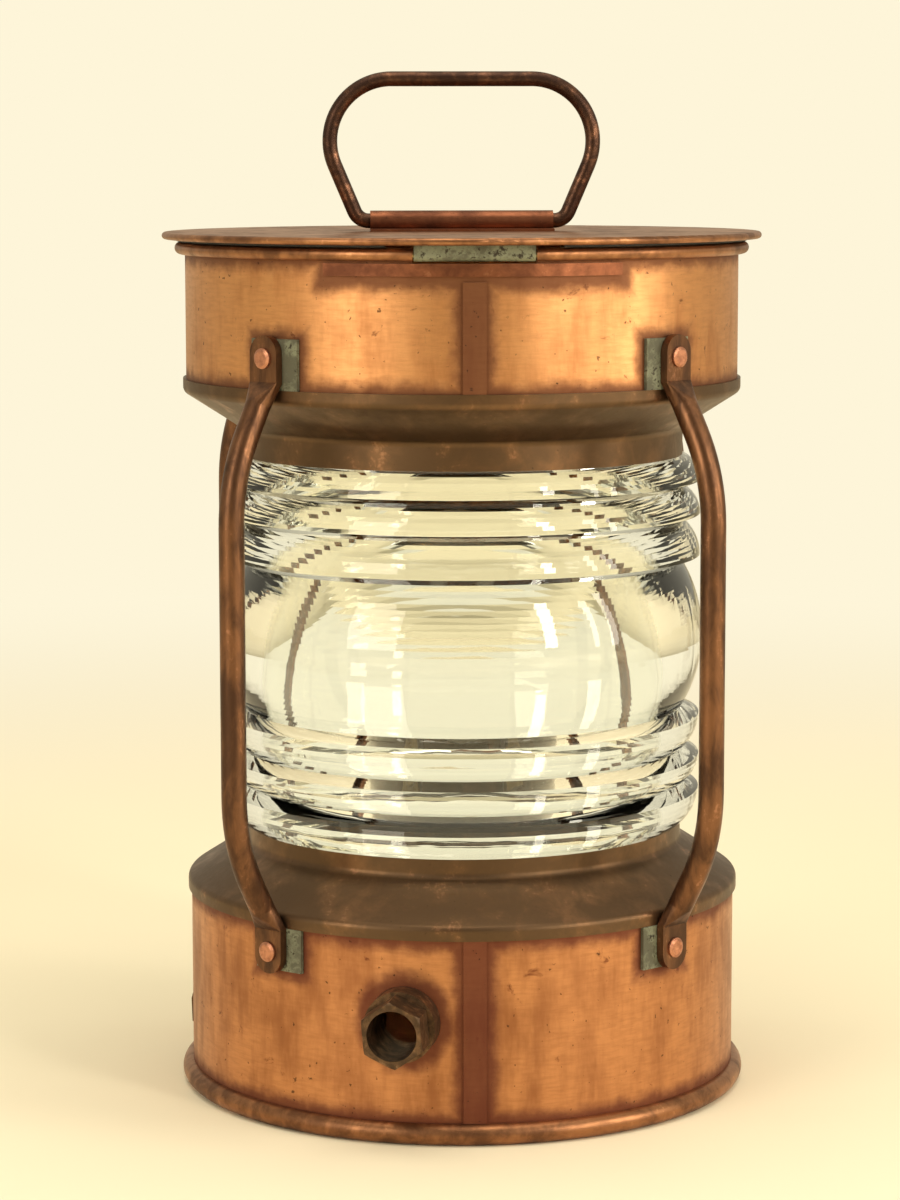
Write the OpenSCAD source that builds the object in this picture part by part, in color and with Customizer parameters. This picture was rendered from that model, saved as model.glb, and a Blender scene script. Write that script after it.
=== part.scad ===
/* [Drums] */
// Outer radius of the copper walls of the base and the top drum
wall_r = 108; // [102:0.5:114]
// Thickness of the copper sheet
sheet = 1.2; // [0.8:0.1:1.6]
// Height of the base wall, from the floor to the edge of its shoulder
base_wall_h = 77.4; // [66:0.2:95]
// Height of the top wall, from the edge of its shoulder to its upper edge
top_wall_h = 52.2; // [44:0.2:70]
// Thickness of the disc that closes the base
floor_t = 1.6; // [1:0.1:3]

/* [Shoulders] */
// Outer radius of the collars that hold the glass
collar_r = 86.8; // [82:0.2:90]
// Height of the lower collar, from the glass to the slope
base_collar_h = 6.8; // [6:0.2:12]
// Height of the upper collar, from the slope to the glass
top_collar_h = 10.6; // [6:0.2:16]
// Height of the sloping part of a shoulder
slope_h = 14.4; // [10:0.2:20]
// Height of the skirt that laps over a wall
skirt_h = 5; // [4:0.2:9]
// Outside radius of the bends in a shoulder
shoulder_bend_r = 3; // [2:0.5:4.5]

/* [Beads] */
// Radius of the half-round bead at the foot
foot_bead_r = 4.1; // [3:0.1:5.5]
// Depth of the flat that the foot bead stands on
foot_flat = 0.1; // [0.05:0.05:0.3]
// Radius of the bead round the top edge
top_bead_r = 2.35; // [2.2:0.05:3]
// How far the top bead's centre stands out of the wall
top_bead_out = 1.65; // [1:0.05:2]
// How far the top bead's centre lies below the upper edge of the wall
top_bead_down = 1.75; // [1.2:0.05:2.2]

/* [Lens] */
// Height of the glass that shows between the collars
glass_h = 145.8; // [125:0.2:170]
// How far the middle of the belt lies above the middle of the glass
belt_up = 1.8; // [0:0.1:3]
// Thickness of the glass neck at each end
neck_t = 5.2; // [4:0.1:8]
// Height of the glass neck inside a collar
neck_h = 8.4; // [6:0.2:12]
// How far the belt swells beyond the collars
belt_swell = 8.2; // [5:0.1:11]
// How far the prism rings stand out of their grooves
prism_depth = 7; // [4:0.1:9]
// Height of the prism ring next to the belt
inner_prism_h = 16.3; // [13:0.1:19]
// Height of the middle prism ring
middle_prism_h = 13.3; // [11:0.1:17]
// Height of the prism ring next to a collar
outer_prism_h = 14.5; // [11:0.1:17]
// Height of the steep face under a prism edge
riser_h = 2.7; // [1.5:0.1:4]
// Play between the glass neck and its seat
neck_play = 0.6; // [0.3:0.1:1.2]
// Thickness of the seats, the flanged rings that hold the necks
seat_t = 1.2; // [0.8:0.1:2]
// Thickness of the gasket on each end of the glass
gasket_t = 2.3; // [1.5:0.1:3]

/* [Seams and pads] */
// Width of the strips over the front seams
seam_w = 8.6; // [6:0.2:12]
// Thickness of the seam strips
seam_t = 0.9; // [0.6:0.1:1.5]
// How far the top seam strip ends below the upper edge of the wall
top_seam_gap = 11.6; // [10:0.2:14]
// Height of the tinned pads under the guards' upper ends
top_pad_h = 19; // [16:0.2:24]
// Height of the tinned pads under the guards' lower ends
base_pad_h = 16.4; // [14:0.2:24]
// Width of a pad on the side towards the front
pad_near = 13.4; // [9:0.2:16]
// Width of a pad on the side away from the front
pad_far = 9; // [8:0.2:14]
// Thickness of a pad
pad_t = 1.5; // [1:0.1:2.2]

/* [Guards] */
// Diameter of the guard rods
guard_d = 9.5; // [8:0.1:12]
// How far the rods' centres stand off the walls
guard_off = 22; // [20:0.5:28]
// Angle of the rods' ends from upright
guard_lean = 29; // [24:1:32]
// Bend radius of the rods
guard_bend_r = 70; // [40:1:75]
// Angle of the front guards from the front
guard_front_az = 43; // [36:0.5:50]
// Angle of the rear guards from the front
guard_rear_az = 134; // [128:0.5:142]
// Width of the flattened rod ends
tab_w = 13.3; // [11:0.1:16]
// Thickness of the flattened rod ends
tab_t = 3.1; // [2:0.1:4]
// Distance from a skirt's edge to the rivet
rivet_up = 10.6; // [9:0.1:13]
// Distance from the rivet to the end of the tab
tab_end = 8.4; // [7.4:0.1:10]
// Diameter of the rivet shanks
rivet_d = 5; // [4:0.1:6]
// Diameter of the rivet heads
rivet_head_d = 7.6; // [7:0.1:9]
// Height of the rivet heads
rivet_head_h = 1.3; // [0.8:0.1:2]

/* [Cable gland] */
// Angle of the gland from the front
gland_az = -14; // [-20:0.5:-12]
// Height of the gland's axis
gland_z = 46.3; // [40:0.1:52]
// Diameter of the soldered boss
gland_boss_d = 27; // [25:0.2:32]
// How far the boss stands out of the wall
gland_boss_out = 9; // [6:0.5:12]
// Diameter of the spigot that screws into the boss
gland_spigot_d = 22; // [21:0.1:23]
// Size of the hexagon across its flats
gland_hex = 22; // [21:0.1:26]
// How far the hexagon stands out of the wall
gland_out = 22; // [18:0.5:28]
// Diameter of the cable hole
gland_hole_d = 18.8; // [16:0.1:19.4]

/* [Air hoods] */
// Angle of the air hoods from the front
hood_az = 103; // [94:0.5:112]
// Width of an air hood
hood_w = 21; // [19:0.5:28]
// Height of an air hood
hood_h = 16; // [12:0.5:22]
// How far an air hood stands out of the wall
hood_out = 2.2; // [1.8:0.1:5]
// Height of the lower edge of the air hoods
hood_z = 17; // [13:0.5:24]
// Diameter of the air holes behind a hood
air_hole_d = 4; // [2.5:0.1:5]

/* [Lid] */
// How far the lid reaches beyond the walls
lid_over = 8.9; // [7:0.1:11]
// Radius of the rolled edge of the lid
lid_roll_r = 1.35; // [1.2:0.05:1.8]
// Gap between the top bead and the lid's rolled edge
lid_gap = 1.1; // [0.8:0.1:1.8]
// Depth of the ring under the lid
spigot_h = 6; // [4:0.2:10]
// Play between the ring under the lid and the wall
spigot_play = 1.4; // [1:0.1:2.5]
// Width of the lid's seal
seal_w = 3; // [2:0.1:3.4]

/* [Hinge] */
// Width of the hinge knuckle
knuckle_w = 44; // [36:0.5:52]
// Play at each end of the knuckle
knuckle_play = 0.5; // [0.3:0.1:1]
// Diameter of the hinge pin
hinge_pin_d = 2.4; // [2:0.1:2.6]
// How far the hinge pin goes into each end of the bead
hinge_pin_in = 3; // [2:0.1:3.4]
// Radial play of the knuckle on its pin
hinge_play = 0.06; // [0.03:0.01:0.1]
// Outside radius of the knuckle
knuckle_r = 2.4; // [2.2:0.05:2.6]
// Half the angle that the strap under the hinge spans
strap_half_az = 30; // [22:0.5:40]
// Height of the strap under the hinge
strap_h = 4.6; // [3:0.1:6]
// Thickness of the strap under the hinge
strap_t = 1.2; // [0.8:0.1:1.6]
// Gap between the strap and the knuckle
strap_gap = 0.85; // [0.6:0.05:1.5]

/* [Handle] */
// Diameter of the handle wire
wire_d = 5.8; // [5:0.1:7]
// Length of the sleeve that holds the wire
sleeve_l = 71.4; // [60:0.2:84]
// Thickness of the strip that the sleeve is rolled from
sleeve_t = 1; // [0.6:0.1:1.2]
// Width of the sleeve's foot on the lid
sleeve_foot_w = 22; // [14:0.5:30]
// Radial play of the wire in its sleeve
wire_play = 0.08; // [0.04:0.01:0.1]
// Height of the top bar above the pivot, between wire centres
handle_h = 54.8; // [45:0.2:70]
// Lean of the handle's legs from upright
handle_lean = 23; // [12:0.5:26]
// Bend radius at the handle's feet
handle_foot_r = 6; // [5:0.5:8]
// Bend radius at the handle's upper corners
handle_corner_r = 24; // [15:0.5:26]

/* [Catch] */
// Width of the locking lugs at the back
lug_w = 16; // [13:0.5:22]
// Thickness of the locking lugs
lug_t = 2; // [1.5:0.1:3]
// Distance from the wall to the hole in the lugs
lug_reach = 14; // [12.5:0.5:20]
// Diameter of the hole in the lugs
lug_hole_d = 6; // [4:0.1:8]
// Distance from the wall's upper edge down to the lower lug
lug_down = 9.6; // [8:0.2:14]
// Diameter of the rivets that hold the lugs
lug_rivet_d = 3; // [2.4:0.1:4]

/* [Lampholder] */
// Radius of the porcelain cup
cup_r = 23; // [20:0.5:27]
// Height of the porcelain cup
cup_h = 31; // [26:0.5:40]
// Radius of the porcelain foot
cup_foot_r = 27; // [26:0.5:32]
// Height of the porcelain foot
cup_foot_h = 14; // [10:0.5:20]
// Bore radius of the lamp's screw shell
lamp_shell_r = 13.2; // [12.8:0.1:14]
// Thickness of the lamp's screw shell
lamp_shell_t = 0.6; // [0.4:0.1:1]
// How far the cup ends below the edge of the lower collar
cup_down = 6.6; // [3:0.2:14]
// Pitch of the lamp's thread
thread_pitch = 3.6; // [3:0.1:4]
// Depth of the lamp's thread
thread_depth = 0.8; // [0.5:0.1:1.1]
// Width of the bracket that carries the lampholder
bracket_w = 30; // [24:0.5:40]
// Thickness of the bracket
bracket_t = 2; // [1.5:0.1:3]
// Length of the bracket's top
bracket_l = 66; // [60:0.5:80]
// Length of the bracket's feet
bracket_foot = 16; // [12:0.5:22]
// Diameter of the small screws
screw_d = 4; // [3:0.1:5]

/* [Hidden] */
$fn = 96;

// Film between two faces that are soldered, riveted or pressed together
film = 0.05;
// Length by which a cutting body passes the face that it cuts
over = 1;

// Radii that follow from the walls
wall_in = wall_r - sheet;
skirt_r = wall_r + film + sheet;
collar_in = collar_r - sheet;
lid_r = wall_r + lid_over;

// Heights, from the floor up
base_shoulder_h = skirt_h + slope_h + base_collar_h;
top_shoulder_h = skirt_h + slope_h + top_collar_h;
glass_low = base_wall_h + base_shoulder_h;
glass_high = glass_low + glass_h;
top_skirt_z = glass_high + top_shoulder_h;
wall_top = top_skirt_z + top_wall_h;
bead_z = wall_top - top_bead_down;
bead_ring_r = wall_r + top_bead_out;
roll_z = bead_z + top_bead_r + lid_gap + lid_roll_r;
lid_top = roll_z + lid_roll_r;
lid_under = lid_top - sheet;
foot_bead_z = foot_bead_r - foot_flat;
foot_bead_ring_r = wall_r + film;

// How far a wall runs in under the skirt of its shoulder
lap = skirt_h - shoulder_bend_r * 0.6 - 0.6;

// The glass necks stand in flanged seats that are soldered into the collars
seat_r = collar_in - film;
neck_r = seat_r - seat_t - neck_play;
lens_bore_r = neck_r - neck_t;
seat_h = neck_h + gasket_t + seat_t + 2 * film;

// The guards run between the two rows of rivets
low_rivet_z = base_wall_h - rivet_up + 1.5;
high_rivet_z = top_skirt_z + rivet_up + 1.3;
pad_r = wall_r + film + pad_t;
tab_in = pad_r + film;
tab_mid = tab_in + tab_t / 2;
tab_out = tab_in + tab_t;
guard_r = wall_r + guard_off;
guard_low = base_wall_h - film;
guard_high = top_skirt_z + 2.6;
guard_drop = (guard_r - tab_mid) / tan(guard_lean);
// Length over which a flattened end swells to the round rod
guard_blend = 9;
// The straight runs of a rod are this much thicker than its bends and reach this far over them
run_thick = 0.01;
run_over = 0.1;

// The hinge pin lies on the chord that meets the bead's centre at the knuckle's ends
hinge_half = knuckle_w / 2 + knuckle_play;
hinge_y = -sqrt(pow(bead_ring_r, 2) - pow(hinge_half, 2));
strap_top = bead_z - knuckle_r - strap_gap;
hinge_cut_half = hinge_half + 9;

// The handle turns in a sleeve that lies on the lid
wire_r = wire_d / 2;
sleeve_in = wire_r + wire_play;
sleeve_out = sleeve_in + sleeve_t;
pivot_z = lid_top + film + sleeve_out;
handle_foot_x = sleeve_l / 2 + handle_foot_r * tan((90 - handle_lean) / 2) + 0.6;
handle_corner_x = handle_foot_x + handle_h * tan(handle_lean);

// The lampholder stands on its bracket in the middle of the base
cup_top = glass_low - cup_down;
cup_z = cup_top - cup_h;
cup_foot_z = cup_z - cup_foot_h;
bracket_top = cup_foot_z - film;
floor_top = floor_t;
holder_screw_x = cup_foot_r - 5.5;
terminal_y = cup_foot_r - 5;
lug_hole_r = wall_r + lug_reach;
lug_z = wall_top - lug_down;

copper = "#b06a3c";
dark_copper = "#7a4a30";
brown = "#5a3a28";
tin = "#8c9284";
brass = "#8a7440";
porcelain = "#e8e2d4";
rubber_black = "#2e2c28";
glass_tint = [0.86, 0.87, 0.66, 0.6];

// Unit vector
function unit(v) = v / norm(v);

// Arc of radius r from a to b, bulging to the right of the way from a to b
function arc(a, b, r, n = 8) =
    let (mid = (a + b) / 2, half = norm(b - a) / 2, d = unit(b - a),
        centre = mid + [-d[1], d[0]] * sqrt(max(0, r * r - half * half)),
        a0 = atan2(a[1] - centre[1], a[0] - centre[0]),
        a1 = atan2(b[1] - centre[1], b[0] - centre[0]),
        turn = a1 < a0 ? a1 - a0 + 360 : a1 - a0)
    [for (i = [0 : n]) centre + r * [cos(a0 + turn * i / n), sin(a0 + turn * i / n)]];

// Centre, start angle and turn of the bend of radius r at corner b of the path a, b, c
function bend(a, b, c, r) =
    let (u = unit(a - b), v = unit(c - b), half = acos(u * v) / 2,
        centre = b + unit(u + v) * r / sin(half),
        p = b + u * r / tan(half), q = b + v * r / tan(half),
        a0 = atan2(p[1] - centre[1], p[0] - centre[0]),
        a1 = atan2(q[1] - centre[1], q[0] - centre[0]),
        d = a1 - a0, turn = d > 180 ? d - 360 : d < -180 ? d + 360 : d)
    [centre, a0, turn, p, q];

// Points of the rounded corner b of the path a, b, c
function rounded(a, b, c, r, n = 6) =
    let (k = bend(a, b, c, r))
    [for (i = [0 : n]) k[0] + r * [cos(k[1] + k[2] * i / n), sin(k[1] + k[2] * i / n)]];

// Outline of a sheet of thickness t that lies to the left of an open path
function sheet_outline(path, t) =
    let (last = len(path) - 1)
    concat(path, [for (k = [0 : last])
        let (i = last - k,
            d0 = unit(path[max(i, 1)] - path[max(i, 1) - 1]),
            d1 = unit(path[min(i, last - 1) + 1] - path[min(i, last - 1)]),
            n = unit([-d0[1] - d1[1], d0[0] + d1[0]]))
        path[i] + n * t / (n * [-d0[1], d0[0]])]);

// Ring with a rectangular section
module ring(inner, outer, low, high) {
    rotate_extrude() translate([inner, low]) square([outer - inner, high - low]);
}

// Turns what is built at the front to an angle from the front, seen from above
module at_az(az) {
    rotate([0, 0, az]) children();
}

// Lays a cylinder built along Z along the way out of the lamp at the front
module outwards(r, z) {
    translate([0, -r, z]) rotate([90, 0, 0]) children();
}

// Curved strip at the front, between two radii, over the angles given
module curved_strip(inner, outer, low, high, az0, az1) {
    rotate([0, 0, az0 - 90]) rotate_extrude(angle = az1 - az0)
        translate([inner, low]) square([outer - inner, high - low]);
}

// Straight run of a rod between two points of the XZ plane, closing over the bends at its ends
module rod_run(a, b, r, over_a = run_over, over_b = run_over) {
    d = b - a;
    translate([a[0], 0, a[1]]) rotate([0, 90 - atan2(d[1], d[0]), 0]) translate([0, 0, -over_a])
        cylinder(h = norm(d) + over_a + over_b, r = r);
}

// Bend of a rod in the XZ plane
module rod_bend(k, bend_r, r) {
    translate([k[0][0], 0, k[0][1]]) rotate([90, 0, 0]) rotate([0, 0, min(k[1], k[1] + k[2])])
        rotate_extrude(angle = abs(k[2])) translate([bend_r, 0]) circle(r = r - run_thick);
}

// Outer path of a shoulder, as radius and distance from the glass
function shoulder_path(collar_h) =
    let (a = [collar_r, 0], b = [collar_r, collar_h], c = [skirt_r, collar_h + slope_h],
        d = [skirt_r, collar_h + slope_h + skirt_h])
    concat([a], rounded(a, b, c, shoulder_bend_r), rounded(b, c, d, shoulder_bend_r), [d]);

// Pressed shoulder with its edge to the glass at height 0 and its skirt upwards
module shoulder(collar_h) {
    rotate_extrude() polygon(sheet_outline(shoulder_path(collar_h), sheet));
}

// One prism ring: a steep face out to the edge, then a convex face to the next groove
function prism(groove, low, high) =
    let (tip = [groove + prism_depth, low + riser_h], end = [groove, high],
        dr = tip[0] - end[0], dz = end[1] - tip[1],
        r = (dr * dr + dz * dz) / (2 * dr))
    concat([[groove, low]], arc(tip, end, r, 8));

// Outline of one half of the lens, from the middle of the belt to the end of its neck
function lens_half(edge, neck_end) =
    let (groove = collar_r + 0.1,
        belt_half = glass_h / 2 - inner_prism_h - middle_prism_h - outer_prism_h,
        z1 = belt_half + inner_prism_h, z2 = z1 + middle_prism_h,
        belt_r = (belt_half * belt_half + belt_swell * belt_swell) / (2 * belt_swell),
        belt_full = arc([groove, -belt_half], [groove, belt_half], belt_r, 24))
    concat([for (i = [12 : 23]) belt_full[i]],
        prism(groove, belt_half, z1), prism(groove, z1, z2), prism(groove, z2, edge),
        [[neck_r, edge], [neck_r, neck_end]]);

// Rivet through the wall, built at the front, with its outer head on a seat
module wall_rivet(z, seat, shank_d, head_d, head_h) {
    inside = sqrt(pow(wall_in, 2) - pow(head_d / 2 + 0.3, 2)) - film;
    outwards(inside - 0.2, z) cylinder(h = seat + film - inside + 0.4, d = shank_d);
    outwards(seat + film, z) rivet_head(head_d, head_h);
    translate([0, -inside, z]) rotate([-90, 0, 0]) inner_head(head_d, head_h);
}

// Button head of a rivet: a low cylinder under a blunt cone
module rivet_head(head_d, head_h) {
    cylinder(h = head_h * 0.55, d = head_d);
    translate([0, 0, head_h * 0.55]) cylinder(h = head_h * 0.45, d1 = head_d, d2 = head_d * 0.72);
}

// Hammered head inside the wall
module inner_head(head_d, head_h) {
    cylinder(h = head_h, d1 = head_d + 0.6, d2 = head_d * 0.8);
}

module base_plate() {
    color(dark_copper) difference() {
        cylinder(h = floor_t, r = wall_in - film);
        bracket_screw_places() translate([0, 0, -over])
            cylinder(h = floor_t + 2 * over, d = screw_d + 0.2);
    }
}

module base_shell() {
    color(copper) difference() {
        ring(wall_in, wall_r, 0, base_wall_h + lap);
        at_az(gland_az) outwards(wall_in - 6, gland_z)
            cylinder(h = sheet + 12, d = gland_boss_d + 2 * film);
        guard_places() outwards(wall_in - over, low_rivet_z)
            cylinder(h = sheet + 2 * over, d = rivet_d + 0.2);
        hood_places() air_holes();
    }
}

module base_bead() {
    color(copper) rotate_extrude() intersection() {
        translate([foot_bead_ring_r, foot_bead_z]) circle(r = foot_bead_r);
        translate([foot_bead_ring_r, 0]) square(2 * foot_bead_r);
    }
}

module base_seam_strip() {
    half = asin(seam_w / 2 / wall_r);
    color(copper) curved_strip(wall_r + film, wall_r + film + seam_t,
        foot_bead_z + foot_bead_r + film, base_wall_h - film, -half, half);
}

module base_shoulder() {
    color(dark_copper) translate([0, 0, glass_low]) mirror([0, 0, 1]) shoulder(base_collar_h);
}

// Band with a flange inwards at its far end, with its edge to the glass at height 0
module lens_seat() {
    rotate_extrude() polygon([[seat_r, 0], [seat_r, seat_h], [lens_bore_r, seat_h],
        [lens_bore_r, seat_h - seat_t], [seat_r - seat_t, seat_h - seat_t], [seat_r - seat_t, 0]]);
}

module lower_lens_seat() {
    color(dark_copper) translate([0, 0, glass_low]) mirror([0, 0, 1]) lens_seat();
}

module lower_lens_gasket() {
    z = glass_low - neck_h - film;
    color(rubber_black) ring(lens_bore_r, neck_r, z - gasket_t, z);
}

module lens() {
    middle = glass_low + glass_h / 2 + belt_up;
    up = glass_high - film - middle;
    down = middle - glass_low - film;
    upper = lens_half(up, up + neck_h);
    lower = lens_half(down, down + neck_h);
    last = len(lower) - 1;
    color(glass_tint) translate([0, 0, middle]) rotate_extrude() polygon(concat(
        [[lens_bore_r, -down - neck_h]],
        [for (k = [0 : last - 1]) [lower[last - k][0], -lower[last - k][1]]], upper,
        [[lens_bore_r, up + neck_h]]));
}

module upper_lens_gasket() {
    z = glass_high + neck_h + film;
    color(rubber_black) ring(lens_bore_r, neck_r, z, z + gasket_t);
}

module upper_lens_seat() {
    color(dark_copper) translate([0, 0, glass_high]) lens_seat();
}

module upper_shoulder() {
    color(dark_copper) translate([0, 0, glass_high]) shoulder(top_collar_h);
}

module upper_shell() {
    color(copper) difference() {
        ring(wall_in, wall_r, top_skirt_z - lap, wall_top);
        hinge_notch(strap_top + 0.1);
        guard_places() outwards(wall_in - over, high_rivet_z)
            cylinder(h = sheet + 2 * over, d = rivet_d + 0.2);
        catch_rivet_places() outwards(wall_in - over, 0)
            cylinder(h = sheet + 2 * over, d = lug_rivet_d + 0.2);
    }
}

// Room for the knuckle at the front, from a height up
module hinge_notch(z) {
    translate([-hinge_half, -wall_r - 20, z]) cube([2 * hinge_half, 40, wall_top - z + 20]);
}

module upper_bead() {
    color(copper) difference() {
        rotate_extrude() difference() {
            translate([bead_ring_r, bead_z]) circle(r = top_bead_r);
            translate([wall_r + film - 2 * top_bead_r, bead_z - 2 * top_bead_r])
                square([2 * top_bead_r, 4 * top_bead_r]);
        }
        hinge_notch(bead_z - 2 * top_bead_r);
        hinge_axis(2 * (hinge_half + hinge_pin_in) + 2 * film, hinge_pin_d / 2 + film);
    }
}

// Cylinder along the hinge's axis, centred on the lamp's middle plane
module hinge_axis(length, r) {
    translate([-length / 2, hinge_y, bead_z]) rotate([0, 90, 0]) cylinder(h = length, r = r);
}

module upper_seam_strip() {
    half = asin(seam_w / 2 / wall_r);
    color(copper) curved_strip(wall_r + film, wall_r + film + seam_t,
        top_skirt_z + film, wall_top - top_seam_gap, -half, half);
}

module hinge_strap() {
    color(brown) curved_strip(wall_r + film, wall_r + film + strap_t,
        strap_top - strap_h, strap_top, -strap_half_az, strap_half_az);
}

module hinge_pin() {
    color(brass) hinge_axis(2 * (hinge_half + hinge_pin_in), hinge_pin_d / 2);
}

// Flattened end of a guard rod, built at the front, with its rounded end up
module guard_tab(shoulder_z, rivet_z, way) {
    end_z = rivet_z + way * (tab_end - tab_w / 2);
    translate([-tab_w / 2, -tab_out, min(shoulder_z, end_z)])
        cube([tab_w, tab_t, abs(end_z - shoulder_z)]);
    outwards(tab_in, end_z) cylinder(h = tab_t, d = tab_w);
}

// Swelling between a flattened end and the round rod
module guard_swell(shoulder_z, way, start) {
    hull() {
        translate([-tab_w / 2, -tab_out, min(shoulder_z, shoulder_z + way * 0.6)])
            cube([tab_w, tab_t, 0.6]);
        rotate([0, 0, -90]) rod_run(start, start + [sin(guard_lean), -way * cos(guard_lean)] * 0.6,
            guard_d / 2 - 2 * run_thick, 0, 0, $fn = 32);
    }
}

// A guard rod bows out from the base to the top drum
module guard(az) {
    a = [tab_mid, guard_low];
    b = [guard_r, guard_low + guard_drop];
    c = [guard_r, guard_high - guard_drop];
    d = [tab_mid, guard_high];
    start = a + unit(b - a) * guard_blend;
    end = d + unit(c - d) * guard_blend;
    low = bend(a, b, c, guard_bend_r);
    high = bend(b, c, d, guard_bend_r);
    color(brown) at_az(az) difference() {
        union() {
            rotate([0, 0, -90]) {
                rod_run(start, low[3], guard_d / 2, 0);
                rod_bend(low, guard_bend_r, guard_d / 2);
                rod_run(low[4], high[3], guard_d / 2);
                rod_bend(high, guard_bend_r, guard_d / 2);
                rod_run(high[4], end, guard_d / 2, run_over, 0);
            }
            guard_swell(guard_low, -1, start);
            guard_swell(guard_high, 1, end);
            guard_tab(guard_low, low_rivet_z, -1);
            guard_tab(guard_high, high_rivet_z, 1);
        }
        for (z = [low_rivet_z, high_rivet_z])
            outwards(tab_in - over, z) cylinder(h = tab_t + 2 * over, d = rivet_d + 0.2);
    }
}

module guard_front_left() { guard(-guard_front_az); }
module guard_front_right() { guard(guard_front_az); }
module guard_rear_left() { guard(-guard_rear_az); }
module guard_rear_right() { guard(guard_rear_az); }

// Repeats what is built at the front at the four guards
module guard_places() {
    for (az = [guard_front_az, guard_rear_az], side = [-1, 1]) at_az(side * az) children();
}

// A pad reaches further towards the front than away from it
module guard_pads(low, high, rivet_z) {
    near = asin(pad_near / pad_r);
    far = asin(pad_far / pad_r);
    color(tin) for (az = [guard_front_az, guard_rear_az], side = [-1, 1]) at_az(side * az)
        difference() {
            curved_strip(wall_r + film, pad_r, low, high,
                side > 0 ? -near : -far, side > 0 ? far : near);
            outwards(wall_r - over, rivet_z) cylinder(h = pad_t + 2 * over, d = rivet_d + 0.2);
        }
}

module upper_guard_pads() {
    guard_pads(top_skirt_z + film, top_skirt_z + film + top_pad_h, high_rivet_z);
}

module lower_guard_pads() {
    guard_pads(base_wall_h - film - base_pad_h, base_wall_h - film, low_rivet_z);
}

module upper_guard_rivets() {
    color(copper) guard_places()
        wall_rivet(high_rivet_z, tab_out, rivet_d, rivet_head_d, rivet_head_h);
}

module lower_guard_rivets() {
    color(copper) guard_places()
        wall_rivet(low_rivet_z, tab_out, rivet_d, rivet_head_d, rivet_head_h);
}

module gland_boss() {
    inside = wall_in - 3;
    outside = wall_r + gland_boss_out;
    color(brass) at_az(gland_az) outwards(inside, gland_z) difference() {
        cylinder(h = outside - inside, d = gland_boss_d);
        translate([0, 0, -over]) cylinder(h = outside - inside + 2 * over, d = gland_spigot_d + 0.1);
    }
}

module gland_body() {
    inside = wall_in - 5;
    seat = wall_r + gland_boss_out + film;
    outside = wall_r + gland_out;
    corner_r = gland_hex / sqrt(3);
    color(brass) at_az(gland_az) difference() {
        union() {
            outwards(inside, gland_z) cylinder(h = seat - inside + over, d = gland_spigot_d);
            intersection() {
                outwards(seat, gland_z) rotate([0, 0, 35])
                    cylinder(h = outside - seat, r = corner_r, $fn = 6);
                outwards(seat, gland_z) hex_chamfer(outside - seat, corner_r);
            }
        }
        outwards(inside - over, gland_z) cylinder(h = outside - inside + 2 * over, d = gland_hole_d);
    }
}

// Turned envelope that takes the sharp corners off both ends of the hexagon
module hex_chamfer(h, corner_r) {
    cut = 1;
    rotate_extrude() polygon([[0, 0], [corner_r - cut, 0], [corner_r + 0.2, cut],
        [corner_r + 0.2, h - cut], [corner_r - cut, h], [0, h]]);
}

// Repeats what is built at the front at the two air hoods
module hood_places() {
    for (side = [-1, 1]) at_az(side * hood_az) children();
}

module air_holes() {
    for (i = [-1 : 1]) rotate([0, 0, i * asin(hood_w * 0.28 / wall_r)])
        outwards(wall_in - over, hood_z + hood_h * 0.5)
            cylinder(h = sheet + 2 * over, d = air_hole_d);
}

// Scoop that is open at its lower edge, built at the front
module air_hood() {
    skin = 0.6;
    half = asin(hood_w / 2 / wall_r);
    inner_half = asin((hood_w / 2 - skin) / wall_r);
    root = wall_r + film;
    difference() {
        rotate([0, 0, -90 - half]) rotate_extrude(angle = 2 * half)
            polygon([[root, hood_z], [wall_r + hood_out - 0.3, hood_z],
                [wall_r + hood_out, hood_z + hood_h * 0.6], [root + 0.4, hood_z + hood_h],
                [root, hood_z + hood_h]]);
        rotate([0, 0, -90 - inner_half]) rotate_extrude(angle = 2 * inner_half)
            polygon([[root - over, hood_z - over], [wall_r + hood_out - 0.3 - skin, hood_z - over],
                [wall_r + hood_out - skin, hood_z + hood_h * 0.58],
                [root - over, hood_z + hood_h - skin]]);
    }
}

module air_hood_left() { color(dark_copper) at_az(-hood_az) air_hood(); }
module air_hood_right() { color(dark_copper) at_az(hood_az) air_hood(); }

// Flat ear with a rounded end and a hole, built at the back
module ear(from_r, z) {
    difference() {
        union() {
            translate([-lug_w / 2, from_r, z]) cube([lug_w, lug_hole_r - from_r, lug_t]);
            translate([0, lug_hole_r, z]) cylinder(h = lug_t, d = lug_w);
        }
        translate([0, lug_hole_r, z - over]) cylinder(h = lug_t + 2 * over, d = lug_hole_d);
    }
}

// The two rivets of the lower lug, at the back of the top drum
module catch_rivet_places() {
    for (side = [-1, 1]) rotate([0, 0, 180 + side * asin(lug_w * 0.27 / wall_r)])
        translate([0, 0, lug_z - lug_w * 0.42]) children();
}

module catch_lug() {
    half = asin(lug_w / 2 / wall_r);
    color(dark_copper) difference() {
        union() {
            rotate([0, 0, 180]) curved_strip(wall_r + film, wall_r + film + lug_t,
                lug_z - lug_w * 0.75, lug_z + lug_t, -half, half);
            difference() {
                ear(wall_r - over, lug_z);
                translate([0, 0, lug_z - over]) cylinder(h = lug_t + 2 * over, r = wall_r + film);
            }
        }
        catch_rivet_places() outwards(wall_r - over, 0)
            cylinder(h = lug_t + 2 * over, d = lug_rivet_d + 0.2);
    }
}

module catch_lug_rivets() {
    color(copper) catch_rivet_places()
        wall_rivet(0, wall_r + film + lug_t, lug_rivet_d, lug_rivet_d * 1.7, 1);
}

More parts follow.
